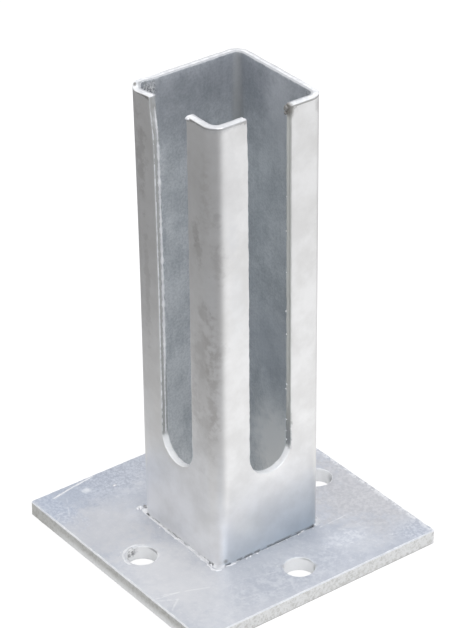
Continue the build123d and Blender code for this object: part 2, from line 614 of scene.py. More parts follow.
# Runs up the left slot's left edge: (low end, high end, depth from the outer face, radius) in millimetres
SLOT_RUNS = ((98, 250, 2.9, 1.05), (64, 112, 2.5, 0.55), (64, 250, 0.45, 0.40))
SLOT_RUN_POINTS = 13
SLOT_RUN_SUNK = 0.15 * MM

# Runs that lie on the plate: the way of each in millimetres, with its half width and height
PLATE_RUNS = (
    (((-31.0, -34.0), (-24.0, -34.2), (-16.0, -34.3)), 0.50, 0.40),
    (((-17.0, -34.2), (-8.0, -34.4), (-1.3, -34.6), (7.0, -34.5)), 0.75, 0.52),
    (((6.0, -34.5), (15.7, -34.6), (22.0, -34.8), (27.5, -35.0)), 0.82, 0.55),
    (((27.5, -35.5), (31.8, -36.0), (33.9, -34.7), (35.1, -32.0)), 0.95, 0.65),
    (((33.6, -29.4), (34.5, -26.6), (34.6, -22.8)), 0.80, 0.60),
    (((-69.5, -64.3), (-72.2, -50.0), (-74.0, -35.6)), 0.60, 0.12),
    (((-33.0, -34.0), (-34.2, -33.2), (-34.6, -32.0)), 0.85, 0.75),
    (((34.0, 28.4), (34.1, 30.2), (33.6, 32.0)), 0.30, 0.25),
    (((-70.0, -74.3), (-30.0, -74.4), (10.0, -74.3), (50.0, -74.4), (73.0, -74.3)), 0.46, 0.30),
    (((74.4, -70.0), (74.3, -30.0), (74.4, 10.0), (74.3, 50.0), (74.4, 72.0)), 0.34, 0.22),
)
PLATE_RUN_STEP = 0.5 * MM

# A low run part of the way round the hole on -Y
RING_RUN_R = HOLE_R + 1.5 * MM
RING_RUN_TURN = (135, 300)
RING_RUN_HALF_WIDTH = 0.95 * MM
RING_RUN_HEIGHT = 0.16 * MM
LONG_RUN_STEP = 1.0 * MM

# Drops on the plate, as (x, y, radius) in millimetres
PLATE_DROPS = (
    (-59.6, -31.8, 1.05), (-43.4, -74.2, 0.40), (22.9, -74.2, 0.42), (34.0, -74.2, 0.30),
    (-20.5, -74.2, 0.32), (55.0, -74.2, 0.30), (-1.3, -34.9, 0.66), (5.8, -34.6, 0.42),
    (21.7, -35.2, 0.66), (27.4, -35.7, 0.62), (28.3, -34.2, 0.80), (29.4, -34.7, 0.70),
    (-14.0, -35.6, 0.35), (12.0, -36.2, 0.32), (-34.9, -33.0, 1.35), (-34.4, -30.3, 0.95),
    (-34.7, -34.8, 1.0), (35.0, -16.8, 0.65), (34.6, -14.0, 0.70), (34.7, -9.6, 0.50),
    (34.6, -3.0, 0.55), (34.7, 3.6, 0.45), (34.6, 9.4, 0.52), (34.8, 17.0, 0.45),
    (35.3, 26.2, 0.40), (-8.6, -64.2, 0.42), (-6.2, -67.0, 0.36), (49.6, -8.4, 0.34),
)

# Drops on the right slot's edge, as (height, depth from the outer face, radius) in millimetres
SLOT_DROPS = (
    (60, 2.2, 0.5), (66, 3.4, 0.6), (71, 3.8, 0.45), (78, 3.6, 0.5), (96, 3.9, 0.42), (99, 3.2, 0.38),
    (128, 3.5, 0.42), (141, 3.9, 0.45), (163, 3.7, 0.32), (186, 3.9, 0.36), (205, 3.6, 0.34),
)

# Lumps on the rims, as (x, y, z, radius) in millimetres: the tongue's tip and a drip in the right slot
RIM_LUMPS = (
    (12.3, -32.3, 254.0, 1.0), (11.6, -29.8, 254.1, 0.8), (13.4, -32.4, 254.1, 0.7),
    (30.3, -12.3, 254.2, 0.7), (29.7, 12.8, 252.4, 1.6), (29.2, 12.8, 249.6, 1.2),
)


def slot_edge_run(low, high, depth, radius):
    """A run of zinc up the left slot's left edge, which follows the mouth's flare."""
    facing = Vector((1, 0, 0))
    pairs = []
    for i in range(SLOT_RUN_POINTS):
        z = low + (high - low) * i / (SLOT_RUN_POINTS - 1)
        u = -SLOT_HALF - MOUTH_FLARE[0] * smooth(-FLARE_DEPTH, 0.0, z - TUBE_TOP + SLOT_MOUTH_R)
        pairs.append((Vector(on_tube(u, z, depth)) - facing * SLOT_RUN_SUNK, facing))
    return zinc_run(pairs, radius, radius, LONG_RUN_STEP)


def on_plate_top(points):
    """(place, up) pairs for (x, y) points in metres."""
    return [(Vector((x, y, PLATE_TOP)), UP) for x, y in points]


def make_zinc_runs():
    """Bright runs along the left slot's cut edge, round the tube's foot and along the plate's rim."""
    parts = [slot_edge_run(*(size * MM for size in run)) for run in SLOT_RUNS]
    for way, radius, height in PLATE_RUNS:
        points = on_plate_top((x * MM, y * MM) for x, y in way)
        parts.append(zinc_run(points, radius * MM, height * MM, PLATE_RUN_STEP))
    ring = arc((0.0, -HOLE_FROM_CENTRE), RING_RUN_R, *RING_RUN_TURN, LONG_RUN_STEP)
    parts.append(zinc_run(on_plate_top(ring), RING_RUN_HALF_WIDTH, RING_RUN_HEIGHT, LONG_RUN_STEP))
    return joined_piece("zinc_runs", parts)


def make_zinc_pimples():
    """Small drops and lumps of zinc on the right slot's edge, the rims and the plate."""
    parts = []
    for index, (z, depth, size) in enumerate(SLOT_DROPS):
        at = Vector((TUBE_HALF - depth * MM, SLOT_HALF, z * MM))
        parts.append(zinc_pimple(at, Vector((0, -1, 0)), size * MM, size * MM, index))
    for index, (x, y, size) in enumerate(PLATE_DROPS):
        at = Vector((x * MM, y * MM, PLATE_TOP))
        parts.append(zinc_pimple(at, UP, size * MM, DROP_RISE * size * MM, index))
    for index, (x, y, z, size) in enumerate(RIM_LUMPS):
        for up in (UP, -UP):
            parts.append(zinc_pimple(Vector((x, y, z)) * MM, up, size * MM, LUMP_RISE * size * MM, index))
    return joined_piece("zinc_pimples", parts)


# Shader nodes

ORIGIN = (0.0, 0.0, 0.0)

# The shaded lip's way from the cut edge in millimetres, and the shear line's share of the way through
LIP_MM = 0.85
SHEAR_LINE = 0.30

# What clouds and grain add to the roughness, and what a full rougher and a full dull mask change
TONE_ROUGHNESS = -0.08
GRAIN_ROUGHNESS = 0.10
ROUGHER_BY = 0.25
DULLED_SHARE = 0.95


class Nodes:
    """The nodes of one material, group or world, each laid and joined by a short call."""

    def __init__(self, tree):
        self.tree = tree

    def feed(self, socket, value):
        """Links a socket's value, or sets a plain one."""
        if isinstance(value, bpy.types.NodeSocket):
            self.tree.links.new(value, socket)
        else:
            socket.default_value = (*value, 1.0) if socket.type == "RGBA" else value

    def add(self, kind, inputs=None, **settings):
        """A node with its properties set and its inputs, by name or number, fed."""
        made = self.tree.nodes.new(kind)
        for key, value in settings.items():
            setattr(made, key, value)
        for key, value in (inputs or {}).items():
            self.feed(made.inputs[key], value)
        return made

    def math(self, operation, a, b=0.0, clamp=False):
        return self.add("ShaderNodeMath", {0: a, 1: b}, operation=operation, use_clamp=clamp).outputs[0]

    def times(self, first, *others):
        """The product of masks and numbers."""
        for other in others:
            first = self.math("MULTIPLY", first, other)
        return first

    def plus(self, first, *others):
        """The sum of masks and numbers."""
        for other in others:
            first = self.math("ADD", first, other)
        return first

    def minus(self, a, b, clamp=False):
        return self.math("SUBTRACT", a, b, clamp)

    def vector(self, operation, a, b=None):
        """A vector operation on a, or on a and b, where b is a number to scale by or a vector."""
        second = {} if b is None else {"Scale" if operation == "SCALE" else 1: b}
        made = self.add("ShaderNodeVectorMath", {0: a, **second}, operation=operation)
        return made.outputs["Value" if operation in ("LENGTH", "DOT_PRODUCT") else "Vector"]

    def mix(self, factor, a, b, blend="MIX"):
        """A mix of two colours."""
        inputs = {0: factor, 6: a, 7: b}
        return self.add("ShaderNodeMix", inputs, data_type="RGBA", blend_type=blend).outputs[2]

    def step(self, value, low, high, to_low=0.0, to_high=1.0, kind="SMOOTHSTEP"):
        """A smooth step of value between two levels."""
        inputs = {"Value": value, "From Min": low, "From Max": high, "To Min": to_low, "To Max": to_high}
        return self.add("ShaderNodeMapRange", inputs, interpolation_type=kind).outputs[0]

    def noise(self, place, scale, detail=2.0, roughness=0.5, output=0):
        inputs = {"Vector": place, "Scale": scale, "Detail": detail, "Roughness": roughness}
        return self.add("ShaderNodeTexNoise", inputs).outputs[output]

    def group(self, group, inputs):
        """Places a group of nodes; returns its outputs."""
        return self.add("ShaderNodeGroup", inputs, node_tree=group.tree).outputs

    def blend(self, factor, a, b):
        """A mix of two shaders."""
        return self.add("ShaderNodeMixShader", {0: factor, 1: a, 2: b}).outputs[0]


class Group(Nodes):
    """A shader node group: given holds what it is given, and give_out says what it gives."""

    def __init__(self, name, inputs, outputs):
        super().__init__(bpy.data.node_groups.new(name, "ShaderNodeTree"))
        for label, default in inputs.items():
            kind = "NodeSocketVector" if isinstance(default, tuple) else "NodeSocketFloat"
            socket = self.tree.interface.new_socket(label, in_out="INPUT", socket_type=kind)
            socket.default_value = default
        for label in outputs:
            self.tree.interface.new_socket(label, in_out="OUTPUT", socket_type="NodeSocketFloat")
        self.given = self.tree.nodes.new("NodeGroupInput").outputs
        self.results = self.tree.nodes.new("NodeGroupOutput").inputs

    def give_out(self, **results):
        for label, value in results.items():
            self.feed(self.results[label], value)


def zinc_clouds_group():
    """Hot-dip zinc's uneven tone: broad clouds, crystal mottling and a fine grain."""
    group = Group("zinc_clouds", {"Place": ORIGIN, "Cloud Scale": 30.0, "Crystal Scale": 160.0,
                                  "Crystal Share": 0.5, "Fleck Share": 0.2}, ("Tone", "Grain", "Height"))
    given = group.given
    place, crystal_share = given["Place"], given["Crystal Share"]
    clouds = group.noise(place, given["Cloud Scale"], 4.0, 0.6)
    sway = group.vector("SCALE", group.noise(place, 140.0, output="Color"), 0.007)
    cells = {"Vector": group.vector("ADD", place, sway), "Scale": given["Crystal Scale"], "Smoothness": 0.7}
    crystals = group.add("ShaderNodeTexVoronoi", cells, feature="SMOOTH_F1")
    crystal = group.add("ShaderNodeRGBToBW", {0: crystals.outputs["Color"]}).outputs[0]
    grain = group.noise(place, 1400.0, 2.0, 0.6)
    flecks = group.step(group.noise(place, 620.0, 3.0, 0.65), 0.54, 0.68)
    cloud_part = group.times(group.step(clouds, 0.32, 0.68), group.minus(1.0, crystal_share))
    tone = group.plus(group.times(crystal, crystal_share), cloud_part,
                      group.times(flecks, given["Fleck Share"]))
    height = group.plus(group.times(crystal, 0.35), group.times(grain, 0.30), group.times(clouds, 0.8))
    group.give_out(Tone=tone, Grain=grain, Height=height)
    return group


def cut_edge_group():
    """Masks for the sheet's edges: the cut face, the part of it that looks up, a band that creeps over
    the edge for bright zinc and a painted highlight, the inner face, the share of the way through,
    and the shaded lip just outside the edge."""
    group = Group("cut_edge", {"Place": ORIGIN, "Reach": 1.0},
                  ("Cut", "Upward", "Zinc", "Inside", "Through", "Lip"))
    place = group.given["Place"]
    near = group.add("ShaderNodeAttribute", attribute_name="edge_mm").outputs["Fac"]
    through = group.add("ShaderNodeAttribute", attribute_name="through").outputs["Fac"]
    wobble = group.times(group.minus(group.noise(place, 350.0, 3.0), 0.5), 2.2)
    share = group.math("DIVIDE", group.plus(near, wobble), group.given["Reach"])
    normal = group.add("ShaderNodeNewGeometry").outputs["Normal"]
    upward = group.vector("DOT_PRODUCT", normal, UP)
    off_lip = group.math("ABSOLUTE", group.minus(near, LIP_MM))
    breaks = group.step(group.noise(place, 240.0, 3.0), 0.30, 0.45)
    lip = group.times(group.step(off_lip, 0.65, 0.25), group.step(through, 0.3, 0.1), breaks)
    # Zinc is the band along the edge that takes bright zinc and a painted highlight
    group.give_out(Cut=group.step(near, 0.30, 0.02), Upward=group.step(upward, 0.08, 0.40),
                   Zinc=group.minus(1.0, share, clamp=True), Inside=group.step(through, 0.7, 0.95),
                   Through=through, Lip=lip)
    return group


def patch_group():
    """A soft ragged patch about a centre, for stains and bloom."""
    group = Group("zinc_patch", {"Place": ORIGIN, "Centre": ORIGIN, "Size": (0.01, 0.01, 0.01),
                                 "Ragged": 0.4}, ("Mask",))
    place = group.given["Place"]
    offset = group.vector("SUBTRACT", place, group.given["Centre"])
    length = group.vector("LENGTH", group.vector("DIVIDE", offset, group.given["Size"]))
    wobble = group.minus(group.noise(place, 200.0, 4.0, 0.65), 0.5)
    distance = group.plus(length, group.times(wobble, group.given["Ragged"], 4.0))
    group.give_out(Mask=group.step(distance, 1.05, 0.25))
    return group


def scratch_group():
    """A fine line between two places on a surface, its strength uneven along it."""
    group = Group("scratch", {"Place": ORIGIN, "From": ORIGIN, "To": ORIGIN, "Width": 0.0005}, ("Mask",))
    given = group.given
    sway = group.vector("SUBTRACT", group.noise(given["Place"], 60.0, output="Color"), (0.5, 0.5, 0.5))
    place = group.vector("ADD", given["Place"], group.vector("SCALE", sway, 0.002))
    along = group.vector("SUBTRACT", given["To"], given["From"])
    offset = group.vector("SUBTRACT", place, given["From"])
    share = group.math("DIVIDE", group.vector("DOT_PRODUCT", offset, along),
                       group.vector("DOT_PRODUCT", along, along), clamp=True)
    nearest = group.vector("SCALE", along, share)
    off_line = group.vector("LENGTH", group.vector("SUBTRACT", offset, nearest))
    line = group.minus(1.0, group.math("DIVIDE", off_line, given["Width"]), clamp=True)
    breaks = group.step(group.noise(given["Place"], 260.0), 0.35, 0.6)
    group.give_out(Mask=group.times(line, breaks))
    return group


ZINC_CLOUDS = zinc_clouds_group()
CUT_EDGE = cut_edge_group()
ZINC_PATCH = patch_group()
SCRATCH = scratch_group()


class Zinc(Nodes):
    """A galvanised finish in the making: a material whose base colour is built up layer by layer."""

    def __init__(self, name, dark, light, crystal_share, cloud_scale, crystal_scale, fleck_share):
        self.material = bpy.data.materials.new(name)
        self.material.use_nodes = True
        super().__init__(self.material.node_tree)
        self.place = self.add("ShaderNodeTexCoord").outputs["Object"]
        self.clouds = self.masks(ZINC_CLOUDS, {"Cloud Scale": cloud_scale, "Crystal Scale": crystal_scale,
                                               "Crystal Share": crystal_share, "Fleck Share": fleck_share})
        self.colour = self.mix(self.clouds["Tone"], dark, light)

    def masks(self, group, inputs):
        """What a group gives out at each place on the piece."""
        return self.group(group, {"Place": self.place, **inputs})

    def along(self, *axis):
        """How far each place lies along an axis, in metres."""
        return self.vector("DOT_PRODUCT", self.place, axis)

    def specks(self, scale, low, high, detail=4.0, roughness=0.7, place=None):
        """A mask of specks from noise, between two of its levels."""
        return self.step(self.noise(place or self.place, scale, detail, roughness), low, high)

    def layer(self, mask, colour, strength=1.0):
        """Lays a colour over what is there, where the mask is."""
        factor = self.math("MULTIPLY", mask, strength, clamp=True)
        self.colour = self.mix(factor, self.colour, colour)

    def tint(self, mask, colour):
        """Multiplies what is there by a colour, where the mask is."""
        self.colour = self.mix(mask, self.colour, colour, blend="MULTIPLY")

    def patch(self, centre, size, colour, strength, ragged=0.35):
        """A soft patch; centre and size are in millimetres."""
        inputs = {"Centre": Vector(centre) * MM, "Size": Vector(size) * MM, "Ragged": ragged}
        self.layer(self.masks(ZINC_PATCH, inputs)["Mask"], colour, strength)

    def speckle(self, centre, size, dark, light, strength, scale=520.0):
        """A patch of mixed dark and light specks; centre and size are in millimetres."""
        colour = self.mix(self.specks(scale, 0.40, 0.62), dark, light)
        self.patch(centre, size, colour, strength, 0.4)

    def scratch(self, start, end, width, colour, strength):
        """A fine line; its ends and width are in millimetres."""
        inputs = {"From": Vector(start) * MM, "To": Vector(end) * MM, "Width": width * MM}
        self.layer(self.masks(SCRATCH, inputs)["Mask"], colour, strength)

    def finish(self, metallic, roughness, bump, bump_mm, dull=None, rougher=None):
        """Joins the colour, roughness and bump to the shader and returns the material. Where the mask
        dull is, the finish is hardly metallic; where the mask rougher is, it mirrors less sharply."""
        shader = self.tree.nodes["Principled BSDF"].inputs
        if rougher is not None:
            roughness = self.plus(self.times(rougher, ROUGHER_BY), roughness)
        if dull is not None:
            metallic = self.minus(metallic, self.times(dull, DULLED_SHARE * metallic))
        tone = self.times(self.clouds["Tone"], TONE_ROUGHNESS)
        grain = self.times(self.clouds["Grain"], GRAIN_ROUGHNESS)
        height = {"Strength": bump, "Distance": bump_mm * MM, "Height": self.clouds["Height"]}
        self.feed(shader["Base Color"], self.colour)
        self.feed(shader["Roughness"], self.plus(tone, grain, roughness))
        self.feed(shader["Metallic"], metallic)
        self.feed(shader["Normal"], self.add("ShaderNodeBump", height).outputs[0])
        return self.material


# Finishes

# Bright fresh zinc for scratches, lace and edges, also used as painted highlight on the cut edges and
# painted light low on the plate's -Y side
BRIGHT_ZINC_AND_HIGHLIGHT = (0.95, 0.955, 0.965)
SMUDGE = (0.40, 0.385, 0.37)
BLOOM = (0.86, 0.875, 0.90)
DROSS = (0.20, 0.195, 0.185)
POOL_SHADE = (0.60, 0.615, 0.645)

# Smudges on the -Y and +X walls: (x, y, z) and size in millimetres, and strength
WALL_SMUDGES = (
    ((18.2, -33.5, 198), (4, 6, 10), 0.30), ((20.0, -33.5, 186), (5, 6, 9), 0.28),
    ((24.7, -33.5, 153), (6, 6, 6), 0.30), ((23.0, -33.5, 133), (6, 6, 12), 0.20),
    ((17.0, -33.5, 101), (6, 6, 14), 0.25), ((26.0, -33.5, 92), (7, 6, 8), 0.22),
    ((31.0, -32.0, 207), (3, 6, 5), 0.25), ((31.5, -31.5, 184), (3, 6, 12), 0.25),
    ((32.0, -31.0, 135), (3, 6, 5), 0.18), ((22.0, -33.5, 120), (6, 6, 8), 0.25),
    ((-24.0, -33.5, 220), (5, 6, 26), 0.3), ((-22.0, -33.5, 150), (3, 6, 30), 0.2),
)
WALL_BLOOM = (
    ((33.5, -22.0, 196), (6, 5, 12), 0.35), ((33.5, -20.0, 160), (6, 6, 30), 0.25),
    ((28.0, -33.5, 165), (7, 5, 22), 0.25), ((24.0, -33.5, 215), (9, 5, 18), 0.2),
    ((33.0, -31.5, 60), (3, 6, 24), 0.4), ((-25.0, -33.5, 75), (9, 5, 22), 0.25),
)


def tube_finish():
    zinc = Zinc("tube_zinc", dark=(0.79, 0.785, 0.78), light=(0.93, 0.93, 0.935), crystal_share=0.25,
                cloud_scale=48.0, crystal_scale=190.0, fleck_share=0.08)
    edge = zinc.masks(CUT_EDGE, {"Reach": 0.8})
    stain_and_shade_walls(zinc)
    shade_inner_walls(zinc, edge)
    # Painted highlight along the cut edges, laid with the bright zinc there
    zinc.layer(edge["Zinc"], BRIGHT_ZINC_AND_HIGHLIGHT, 0.5)
    shade_cut_edges(zinc, edge)
    stain_rim(zinc)
    stain_and_shade_foot(zinc, edge)
    return zinc.finish(metallic=0.85, roughness=0.33, bump=0.22, bump_mm=0.12,
                       dull=edge["Cut"], rougher=edge["Inside"])


def stain_and_shade_walls(zinc):
    """Smudges, bloom and speckle on the slotted walls, and a painted reflection of the plate that makes
    the +X wall darker and bluer low down.
    """
    for centre, size, strength in WALL_SMUDGES:
        zinc.patch(centre, size, SMUDGE, strength, ragged=0.8)
    for centre, size, strength in WALL_BLOOM:
        zinc.patch(centre, size, BLOOM, strength)
    zinc.patch((23, -33.5, 110), (13, 4, 60), (0.57, 0.56, 0.555), 0.52, 0.25)
    zinc.patch((33.5, -24, 222), (5, 11, 48), (0.74, 0.74, 0.75), 0.4, 0.3)
    zinc.speckle((29.0, -32.5, 122), (6.5, 4.6, 46), (0.54, 0.52, 0.50), (0.84, 0.84, 0.84), 0.40, 200.0)
    zinc.speckle((27.0, -33.5, 215), (9.0, 4.0, 40), (0.62, 0.60, 0.58), (0.86, 0.86, 0.86), 0.35, 260.0)
    # Painted reflection of the plate: the +X wall tinted darker and bluer towards its foot
    painted_shade_low = zinc.step(zinc.along(0.0, -0.25, 1.0), 41 * MM, 0.0, kind="LINEAR")
    on_right_wall = zinc.step(zinc.along(1.0, 0.0, 0.0), 30.5 * MM, 33 * MM)
    zinc.tint(zinc.times(painted_shade_low, on_right_wall), (0.60, 0.68, 0.75))


def shade_inner_walls(zinc, edge):
    """Painted light and shade inside the tube: mottled zinc streaked down the walls, painted darker and
    bluer and darkest near the rim, with painted shade in the back corner and on the +Y wall, and painted
    light on the +Y wall.
    """
    inside, height = edge["Inside"], zinc.along(0.0, 0.0, 1.0)
    drawn_down = zinc.vector("MULTIPLY", zinc.place, (1.0, 1.0, 0.18))
    tone = zinc.plus(zinc.times(zinc.specks(750.0, 0.35, 0.65, detail=5.0), 0.35),
                     zinc.times(zinc.specks(130.0, 0.30, 0.70, 3.0, 0.6, place=drawn_down), 0.22),
                     zinc.times(zinc.specks(46.0, 0.37, 0.63, detail=5.0), 0.43))
    # Painted shade: the inner walls' mottled, streaked zinc painted darker and bluer than outside
    zinc.layer(inside, zinc.mix(tone, (0.57, 0.605, 0.635), (0.96, 0.98, 1.0)))
    # Painted shade, darker still towards the rim
    zinc.tint(zinc.times(inside, zinc.step(height, 195 * MM, 250 * MM)), (0.61, 0.62, 0.645))
    # Painted shade in the back inner corner
    zinc.patch((-28.6, 28.6, 205), (4.6, 4.6, 90), (0.44, 0.45, 0.455), 0.8, 0.1)
    # Painted light high on the +Y inner wall
    zinc.patch((6, 29.5, 232), (20, 4, 36), (0.90, 0.915, 0.94), 0.45, 0.3)
    # Painted shade on the +Y inner wall below the rim
    on_right = zinc.step(zinc.along(0.0, 1.0, 0.0), 26 * MM, 29 * MM)
    below_rim = zinc.step(height, 240 * MM, 215 * MM)
    zinc.tint(zinc.times(inside, on_right, below_rim), (0.86, 0.87, 0.87))
    # Painted light low on the +Y inner wall, where light comes in through the -Y slot
    zinc.patch((1, 29.5, 40), (30, 4, 36), (1.0, 1.0, 0.99), 0.95, 0.15)
    # Painted shade, bluish, across the middle of the +Y inner wall
    zinc.patch((-3, 29.5, 98), (26, 4, 36), (0.50, 0.53, 0.58), 0.4)
    zinc.speckle((-28.6, -25, 249), (4.5, 6.5, 9), (0.22, 0.23, 0.25), (1.0, 1.0, 1.0), 0.8, 800.0)


def shade_cut_edges(zinc, edge):
    """A shaded lip under the rim; cut faces with the shears' line and painted shade, darkest on the -X side;
    and where they look up, thick zinc painted near white as a painted highlight from the light above,
    with painted shade on the rims' inner halves and on the outer halves near the back corner.
    """
    height = zinc.along(0.0, 0.0, 1.0)
    near_rim = zinc.step(height, TUBE_TOP - 3 * MM, TUBE_TOP - 1.5 * MM)
    zinc.layer(zinc.times(edge["Lip"], near_rim), (0.30, 0.295, 0.285), 0.72)
    # Grey cut faces with painted shade, darkest where x is below -11 mm, on the left slot's left edge
    sideways = zinc.times(edge["Cut"], zinc.minus(1.0, edge["Upward"]))
    facing_right = zinc.step(zinc.along(1.0, 0.0, 0.0), -9 * MM, -11 * MM)
    zinc.layer(sideways, zinc.mix(facing_right, (0.54, 0.545, 0.515), (0.34, 0.35, 0.355)), 0.9)
    off_line = zinc.math("ABSOLUTE", zinc.minus(edge["Through"], SHEAR_LINE))
    zinc.layer(zinc.times(sideways, zinc.step(off_line, 0.18, 0.06)), (0.33, 0.33, 0.315), 0.6)
    # Painted highlight: cut faces that look up painted near white as if lit from above, over thick speckled
    # zinc, greyer on the rims
    upward = zinc.times(edge["Cut"], edge["Upward"])
    on_rim = zinc.step(height, 200 * MM, 240 * MM)
    thin_zinc_and_shading = zinc.mix(on_rim, (0.97, 0.975, 0.985), (0.70, 0.71, 0.73))
    thick_zinc_and_shading = zinc.mix(on_rim, (1.0, 1.0, 1.0), (0.90, 0.905, 0.915))
    zinc.layer(upward, zinc.mix(zinc.specks(330.0, 0.34, 0.60, roughness=0.65), thin_zinc_and_shading, thick_zinc_and_shading), 0.95)
    # Painted shade on the outer half of the rims near the back corner
    at_back = zinc.step(zinc.along(-0.7071, 0.7071, 0.0), 5 * MM, 20 * MM)
    outer_half = zinc.step(edge["Through"], 0.50, 0.15)
    zinc.layer(zinc.times(upward, on_rim, at_back, outer_half), (0.48, 0.485, 0.49), 0.6)
    # Painted shade on the inner half of every rim
    inner_lip = zinc.step(edge["Through"], 0.55, 0.80)
    zinc.layer(zinc.times(upward, inner_lip, on_rim), (0.42, 0.43, 0.45), 0.8)


def stain_rim(zinc):
    """Dross and dull patches on the rim's corners, on the tongue's tip and beside the slots' mouths."""
    zinc.speckle((-28.7, -27.0, 255), (3.6, 6.5, 2.4), (0.30, 0.32, 0.34), (0.70, 0.72, 0.74), 0.9)
    zinc.patch((30, -26, 255), (20, 18, 4), (0.64, 0.645, 0.66), 0.65)
    zinc.patch((-31.4, -31.0, 254.2), (1.1, 1.1, 2.0), DROSS, 0.95, 0.1)
    zinc.patch((30.6, 12.75, 252.0), (5.4, 2.6, 5.6), (0.21, 0.20, 0.185), 0.95, 0.2)
    zinc.patch((33.2, 30.6, 250), (2.5, 4.0, 5.5), (0.50, 0.50, 0.50), 0.6)
    zinc.speckle((25.5, 29.5, 249), (5.5, 3, 7), (0.26, 0.27, 0.29), (1.0, 1.0, 1.0), 0.8, 800.0)
    zinc.patch((-14.6, -31.6, 250.5), (1.4, 2.8, 4.5), (0.26, 0.25, 0.24), 0.8, 0.3)


def stain_and_shade_foot(zinc, edge):
    """Dross at the front corner and in the right slot's foot, painted shade over the front corner's
    reflection near the foot, and painted shadow in broken lines where the joint is open.
    """
    zinc.patch((33.3, -28.6, 10.2), (1.6, 1.8, 2.0), DROSS, 0.7, 0.2)
    # Painted shade, greyer and warmer, over the front corner's reflection near the foot
    zinc.patch((33.0, -33.0, 18), (5, 5, 24), (0.79, 0.775, 0.76), 0.55, 0.2)
    zinc.patch((31, 12.4, 69), (4.4, 1.7, 11), (0.22, 0.235, 0.26), 0.75, 0.5)
    zinc.patch((31, 12.75, 80), (4.4, 1.4, 10), (0.33, 0.335, 0.33), 0.6, 0.5)
    # Painted shadow in broken lines along the open joint at the tube's foot
    at_joint = zinc.step(zinc.along(0.0, 0.0, 1.0), PLATE_TOP + 1.25 * MM, PLATE_TOP + 0.75 * MM)
    on_right_wall = zinc.step(zinc.along(1.0, 0.0, 0.0), 32.8 * MM, 33.3 * MM)
    breaks = zinc.plus(zinc.noise(zinc.place, 320.0), zinc.times(on_right_wall, 0.07))
    off_corner = zinc.step(zinc.along(0.7071, -0.7071, 0.0), 43.6 * MM, 41.8 * MM)
    outside = zinc.minus(off_corner, edge["Inside"], clamp=True)
    dashes = zinc.times(at_joint, zinc.step(breaks, 0.50, 0.56), outside)
    zinc.layer(dashes, (0.30, 0.305, 0.31), 0.58)


# Marks on the plate's top: ends and half width in millimetres, and strength
PLATE_SCRATCHES = (
    ((33.5, -69.3), (42.8, -46.2), 0.7, 0.65), ((36.1, -73.4), (41.1, -64.6), 0.8, 0.6),
    ((41.1, -64.6), (46.6, -72.0), 0.8, 0.6), ((34.2, -73.8), (36.7, -60.1), 0.6, 0.6),
    ((46.9, -30.8), (53.9, -10.3), 0.6, 0.4), ((36.4, 30.0), (36.3, 56.1), 0.6, 0.5),
    ((52.0, 20.0), (66.0, 61.0), 0.5, 0.35), ((44.0, 38.0), (49.0, 66.0), 0.5, 0.35),
    ((60.0, -40.0), (66.0, -14.0), 0.5, 0.35), ((-66.0, -58.0), (-52.0, -66.0), 0.5, 0.35),
    ((-69.5, -64.3), (-72.2, -50.0), 1.4, 0.5), ((-72.2, -50.0), (-74.0, -35.6), 1.2, 0.5),
)


def plate_finish():
    # The plate's colours: partly the zinc's own tone, partly painted reflection of the bluish room, darker
    # and bluer than the tube's
    zinc = Zinc("plate_zinc", dark=(0.49, 0.52, 0.585), light=(0.69, 0.705, 0.745), crystal_share=0.40,
                cloud_scale=36.0, crystal_scale=330.0, fleck_share=0.35)
    edge = zinc.masks(CUT_EDGE, {"Reach": 0.9})
    mark_plate_top(zinc)
    sideways = zinc.times(edge["Cut"], zinc.minus(1.0, edge["Upward"]))
    # Painted highlight along the plate's cut edges, laid with the bright zinc there
    zinc.layer(edge["Zinc"], BRIGHT_ZINC_AND_HIGHLIGHT, 0.6)
    zinc.layer(sideways, (0.88, 0.885, 0.89), 0.9)
    shade_holes(zinc)
    shade_plate_rim(zinc, sideways)
    return zinc.finish(metallic=0.45, roughness=0.50, bump=0.30, bump_mm=0.12, dull=edge["Cut"])


def mark_plate_top(zinc):
    """Clouds, crystal speckle and scratches on the plate's top."""
    zinc.patch((24, -55, 8), (66, 26, 6), (0.82, 0.82, 0.835), 0.65, 0.2)
    zinc.patch((-32, -60, 8), (38, 38, 6), (0.605, 0.605, 0.625), 0.6, 0.3)
    zinc.speckle((-68, -34, 8), (24, 58, 6), (0.36, 0.395, 0.475), (0.61, 0.645, 0.72), 0.6, 680.0)
    zinc.speckle((26, 66, 8), (56, 40, 6), (0.53, 0.525, 0.54), (0.66, 0.65, 0.66), 0.7, 470.0)
    zinc.speckle((52, 36, 8), (10, 16, 6), (0.58, 0.61, 0.68), (0.86, 0.88, 0.92), 0.6, 240.0)
    zinc.patch((-66, -60, 8), (18, 24, 6), (0.44, 0.485, 0.57), 0.6, 0.35)
    zinc.speckle((-60, -68, 8), (26, 12, 6), (0.40, 0.45, 0.56), (0.66, 0.70, 0.78), 0.5, 620.0)
    zinc.speckle((69, 66, 8), (15, 17, 6), (0.42, 0.46, 0.55), (0.72, 0.75, 0.81), 0.55, 680.0)
    zinc.speckle((60, -5, 8), (20, 60, 6), (0.52, 0.55, 0.62), (0.80, 0.82, 0.86), 0.45, 300.0)
    zinc.patch((-65.3, -45.7, 8), (3.4, 3.4, 3), BLOOM, 0.7, 0.4)
    zinc.patch((-34.3, -30.0, 8), (1.1, 0.9, 2), DROSS, 0.9, 0.1)
    for start, end, width, strength in PLATE_SCRATCHES:
        zinc.scratch((*start, PLATE_TOP / MM), (*end, PLATE_TOP / MM), width, BRIGHT_ZINC_AND_HIGHLIGHT, strength)


